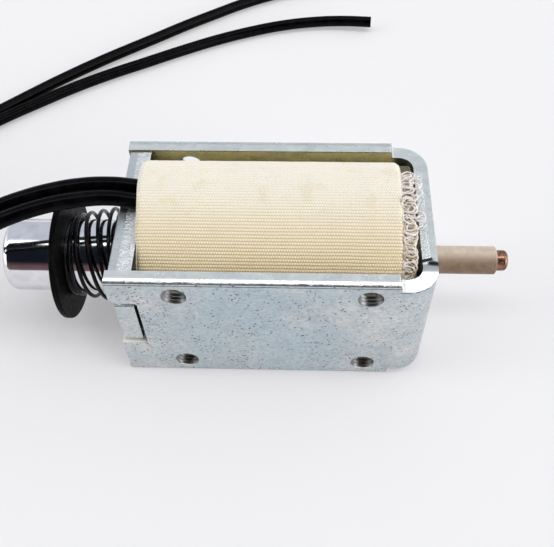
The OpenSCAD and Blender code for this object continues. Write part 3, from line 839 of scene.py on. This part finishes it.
def loose_loop(draw, place, sizes, wires, depth):
    """One loop near place on the coil's outline. Some behind the front few lie over the web."""
    y, z, ny, nz, _ = place
    size, wire = draw.uniform(*sizes) * MM, draw.uniform(*wires) * MM
    out = Vector((0, ny, nz))
    room = (4.3 if y > -5 * MM and draw.random() < 0.4 else 2.9) * MM
    x = FRINGE_X + size * 0.6 + draw.random() * max(0.0, room - 1.6 * size)
    over_web = x + size > WEB_X - 0.2 * MM
    lift = draw.uniform(0.2, 0.45) * MM if over_web else draw.uniform(-depth, 0.3) * MM
    centre = Vector((x, y, z)) + out * lift
    root = Vector((FRINGE_X - 0.35 * MM, y + draw.uniform(-0.5, 0.5) * MM, z)) + out * 0.1 * MM
    path = loop_path(draw, root, centre, out, size)
    return bar([Vector((p.x, p.y, min(p.z, CAD_BOX[1][2] - wire))) for p in path], wire, 8)


def add_loops(draw, count, sizes, wires, depth, places):
    """Loops along places, which are points of the coil's outline.

    sizes, wires and depth are in millimetres; depth is how far below the outline loops may lie."""
    parts = []
    for i in range(count):
        place = places[int(len(places) * (i + draw.random()) / count)]
        parts.append(loose_loop(draw, place, sizes, wires, depth))
    return join(parts)


def make_fringe():
    """Loose loops of the tape's cut edge, in the gap before the web and a little over it."""
    draw = random.Random(7)
    outline, _ = coil_outline(0.75 * MM, 1600)
    places = [p for p in outline if p[1] > FRINGE_Z and p[0] < FRINGE_Y]
    front = [p for p in places if p[0] < -4 * MM]
    for name, material, loops in (
            ("frayed_roots", thread("thread_ochre", (0.60, 0.51, 0.34), (0.34, 0.27, 0.14)),
             (44, (0.5, 0.8), (0.09, 0.13), 0.5, places)),
            ("frayed_loops", thread("thread_pale", (0.86, 0.81, 0.78), (0.70, 0.62, 0.58)),
             (62, (0.95, 1.5), (0.14, 0.20), 0.3, places)),
            ("frayed_loops_front", thread("thread_tan", (0.76, 0.68, 0.56), (0.52, 0.42, 0.28)),
             (16, (1.0, 1.4), (0.14, 0.19), 0.2, front))):
        verts, faces = add_loops(draw, *loops)
        obj = add_mesh(name, verts, faces, material, HOUSING, sharp=60)


make_fringe()


# ---------------------------------------------------------------- spring, plunger and rod

SPRING_WIRE = 0.84 * MM
SPRING_SEAT = 0.05 * MM
SPRING_SMALL_R, SPRING_LARGE_R = 8.5 * MM, 10.6 * MM
SPRING_LEAN = 1.4 * MM
SPRING_START, SPRING_LEAN_WAY = math.radians(125), math.radians(225)
COIL_GAPS = [0.05, 0.95, 2.05, 1.65, 1.15, 0.52, 0.05]
COIL_LEANS = [0, 0, 0.6, 1, 0.85, 0.35, 0, 0]
SPRING_L = PLATE_LO[0] - WASHER_HI[0]


def spring_point(t):
    """Point of the wire's middle line after t turns. Gaps and leans are shares for each turn."""
    turns = len(COIL_GAPS)
    i = min(int(t), turns - 1)
    room = SPRING_L - SPRING_WIRE - SPRING_SEAT - turns * SPRING_WIRE
    open_so_far = sum(COIL_GAPS[:i]) + COIL_GAPS[i] * (t - i)
    x = WASHER_HI[0] + SPRING_WIRE / 2 + SPRING_SEAT / 2 + t * SPRING_WIRE
    x += room / sum(COIL_GAPS) * open_so_far
    wide = max(0.0, min(1.0, (t - 1) / (turns - 2.5)))
    r = SPRING_SMALL_R * (1 - wide) + SPRING_LARGE_R * wide
    a = 2 * math.pi * t + SPRING_START
    lean = SPRING_LEAN * (COIL_LEANS[i] * (1 - t + i) + COIL_LEANS[i + 1] * (t - i))
    return Vector((x + lean * math.cos(a - SPRING_LEAN_WAY), r * math.cos(a), AXIS_Z + r * math.sin(a)))


def make_spring():
    """Conical wire spring between the washer and the end plate, with closed end coils and a lean."""
    steps = 60
    points = [spring_point(n / steps) for n in range(len(COIL_GAPS) * steps + 1)]
    verts, faces = bar(points, SPRING_WIRE / 2, 14)
    steel = black_steel("spring_wire", 0.16, 0.0035, 0.16)
    spring = add_mesh("return_spring_wire", verts, faces, steel, HOUSING, sharp=60)
    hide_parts("return_spring")
    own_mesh(spring)


make_spring()


NEAR_AXIS = 0.0002 * MM
HOLE_R = 2.5 * MM


def make_plunger():
    """Polished bar with a rounded outer edge, the clip's groove, a cone inside and a tapped hole."""
    lo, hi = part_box("plunger")
    clip_lo, clip_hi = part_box("retaining_clip")
    r = (hi[2] - lo[2]) / 2
    edge = 2 * MM
    hole_l = 9 * MM
    nose_r, seat_r, seat_l = 4.6 * MM, 2.29 * MM, 8 * MM
    cone = (r - nose_r) / math.tan(math.radians(30))
    groove = 1 * MM
    chamfer = 0.15 * MM
    play = 0.05 * MM
    groove_0, groove_1 = clip_lo[0] - play, clip_hi[0] + play
    profile = [(lo[0] + hole_l, NEAR_AXIS), (lo[0] + hole_l, HOLE_R), (lo[0] + 0.5 * MM, HOLE_R),
               (lo[0], HOLE_R + 0.5 * MM), (lo[0], r - edge)]
    profile += arc(lo[0] + edge, r - edge, edge, 180, 90, 14)
    profile += [(groove_0 - chamfer, r), (groove_0, r - chamfer), (groove_0, r - groove)]
    profile += [(groove_1, r - groove), (groove_1, r - chamfer), (groove_1 + chamfer, r)]
    profile += [(hi[0] - cone, r), (hi[0], nose_r), (hi[0], seat_r)]
    profile += [(hi[0] - seat_l, seat_r), (hi[0] - seat_l, NEAR_AXIS)]
    plunger = lathe("plunger_bar", profile, polished_steel(), PLUNGER, segments=192)
    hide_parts("plunger")


def make_rod():
    """Push rod with a rounded tip."""
    lo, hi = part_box("push_rod")
    r = (hi[2] - lo[2]) / 2
    edge = 0.8 * MM
    profile = [(lo[0], NEAR_AXIS), (lo[0], r)] + arc(hi[0] - edge, r - edge, edge, 90, 0, 8)
    profile += [(hi[0], r - edge - 0.3 * MM), (hi[0], NEAR_AXIS)]
    rod = lathe("push_rod_bar", profile, copper_rod(), PLUNGER, segments=96)
    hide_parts("push_rod")


def make_sleeve():
    """Sleeve on the push rod, with rounded outer edges."""
    lo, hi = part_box("rod_sleeve")
    r, bore = (hi[2] - lo[2]) / 2, 2.27 * MM
    edge = 0.35 * MM
    profile = [(lo[0], bore), (lo[0], r - edge)] + arc(lo[0] + edge, r - edge, edge, 180, 90, 5)
    profile += arc(hi[0] - edge, r - edge, edge, 90, 0, 6)
    profile += [(hi[0], bore + 0.15 * MM), (hi[0] - 0.15 * MM, bore)]
    sleeve = lathe("rod_sleeve_tube", profile, brown_sleeve(), PLUNGER, segments=96)
    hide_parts("rod_sleeve")


make_plunger()
make_rod()
make_sleeve()


# ---------------------------------------------------------------- threads

THREAD_R = HOLE_R - 0.001 * MM
CREST_R = 2.1 * MM
THREAD_PITCH = 0.8 * MM
HOLE_PITCH_X, HOLE_PITCH_Z = 38 * MM, 24.3 * MM


def screw_thread(centre, way, length):
    """Ridge of an inside thread, from centre along way, as a bar with a three-sided section."""
    way = Vector(way)
    u = way.orthogonal().normalized()
    v = way.cross(u)
    steps = 40
    count = int(steps * (length / THREAD_PITCH - 0.7))
    flank = way * THREAD_PITCH * 0.46
    verts = []
    for n in range(count + 1):
        a = 2 * math.pi * n / steps
        out = math.cos(a) * u + math.sin(a) * v
        rise = min(1.0, n / 12, (count - n) / 12)
        base = Vector(centre) + way * (THREAD_PITCH * (0.35 + n / steps))
        crest = THREAD_R - (THREAD_R - CREST_R) * rise
        verts += [base - flank + out * THREAD_R, base + out * crest, base + flank + out * THREAD_R]
    faces = grid_faces(count + 1, 3)
    faces += [(0, 1, 2), (3 * count + 2, 3 * count + 1, 3 * count)]
    return verts, faces


def add_thread(name, parts, steel, body):
    verts, faces = join(parts)
    add_mesh(name, verts, faces, steel, body, sharp=20)


def make_threads():
    """Threads in the walls' holes, four in front and two at the back, and in the plunger's end."""
    steel = turned_steel("thread_steel", 0.27)
    middle_x = (FRAME_LO[0] + FRAME_HI[0]) / 2
    for side, name, columns in ((-1, "front", (-1, 1)), (1, "back", (-1,))):
        parts = []
        for column in columns:
            for row in (-1, 1):
                x = middle_x + column * HOLE_PITCH_X / 2
                z = AXIS_Z + row * HOLE_PITCH_Z / 2
                parts.append(screw_thread((x, side * FRAME_HI[1], z), (0, -side, 0), SHEET))
        add_thread("screw_threads_" + name, parts, steel, HOUSING)
    start = (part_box("plunger")[0][0] + 0.5 * MM, 0, AXIS_Z)
    parts = [screw_thread(start, (1, 0, 0), 8 * MM)]
    add_thread("plunger_end_thread", parts, steel, PLUNGER)


make_threads()


# ---------------------------------------------------------------- CAD nodes that stay

dress("frame", frame_zinc(), edges=0.15 * MM)
dress("end_plate", plate_zinc(), edges=0.32 * MM)
dress("spring_washer", black_steel("washer_black", 0.42, 0.003, 0.035), edges=0.25 * MM)
dress("retaining_clip", black_steel("clip_black", 0.34, 0.004, 0.08), edges=0.12 * MM)
CORE_STEEL = turned_steel("core_steel", 0.5)
BRASS = brass()
FIBRE = fibre_board()
CRIMP = turned_steel("crimp_metal", 0.66)
dress("fixed_core", CORE_STEEL)
dress("residual_shim", BRASS)
dress("guide_tube", BRASS)
for fibre_node in ("former_tube", "left_cheek", "right_cheek"):
    dress(fibre_node, FIBRE)
dress("inner_insulation", soft_lining("insulating_paper", (0.84, 0.76, 0.55), (0.70, 0.60, 0.40)))
dress("winding", copper_winding())
dress("lead_pad", soft_lining("packing_felt", (0.86, 0.80, 0.66), (0.74, 0.67, 0.52)))
dress("splice_a", CRIMP)
dress("splice_b", CRIMP)
dress("tape_fringe", fringe_felt())


# ---------------------------------------------------------------- studio

def make_floor():
    """Translucent table, lit from below as well, so that the shadows on it stay pale."""
    bpy.ops.mesh.primitive_plane_add(size=20)
    floor = bpy.context.object
    floor.name = "floor"
    f = Finish("floor_table", (0.54, 0.532, 0.54), 0.9, Specular_IOR_Level=0.1,
               Emission_Color=(1.0, 0.99, 1.0), Emission_Strength=0.31)
    floor.data.materials.append(f.material)


# Light of the studio's middle and of its two sides: degrees from the zenith, plus towards the front,
# and the colour there
SKY_MIDDLE = [(-90, (0.62, 0.66, 0.73)), (-9, (0.68, 0.72, 0.79)), (-4, (4.0, 4.0, 4.0)),
    (3, (4.0, 4.0, 4.0)), (8, (0.008, 0.012, 0.02)), (62, (0.008, 0.01, 0.016)),
    (76, (0.15, 0.09, 0.095)), (90, (0.17, 0.10, 0.105))]
SKY_SIDES = [(-90, (1.1, 1.1, 1.1)), (-25, (1.5, 1.5, 1.5)), (15, (3.5, 3.5, 3.5)), (90, (3.5, 3.5, 3.5))]
SIDES_SHIFT = 0.15
SIDES_START, SIDES_FULL = 0.59, 0.79


def sky_ramp(n, angle, bands):
    """Light by angle, which is 0 at the back's horizon and 1 at the front's."""
    ramp = n.add("ShaderNodeValToRGB")
    n.put(ramp.inputs[0], angle)
    elements = ramp.color_ramp.elements
    for element, (degrees, light) in zip(elements, (bands[0], bands[-1])):
        element.position = (degrees + 90) / 180
        element.color = (*light, 1)
    for degrees, light in bands[1:-1]:
        elements.new((degrees + 90) / 180).color = (*light, 1)
    return ramp.outputs["Color"]


def make_world():
    """Studio with large lights at both sides, a lit back, a bright strip overhead and a dark front."""
    world = bpy.data.worlds.new("studio")
    bpy.context.scene.world = world
    world.use_nodes = True
    n = Nodes(world.node_tree)
    way = n.split(n.add("ShaderNodeTexCoord").outputs["Generated"])
    turn = n.math("ARCTAN2", n.product(way["Y"], -1.0), way["Z"])
    angle = n.fade(turn, -math.pi / 2, math.pi / 2, curve="LINEAR")
    aside = n.math("ABSOLUTE", n.math("ADD", way["X"], SIDES_SHIFT))
    light = n.mix(n.fade(aside, SIDES_START, SIDES_FULL), sky_ramp(n, angle, SKY_MIDDLE),
                  sky_ramp(n, angle, SKY_SIDES))
    n.put(n.tree.nodes["Background"].inputs["Color"], light)


make_floor()
make_world()
bpy.context.scene.view_settings.view_transform = "Standard"
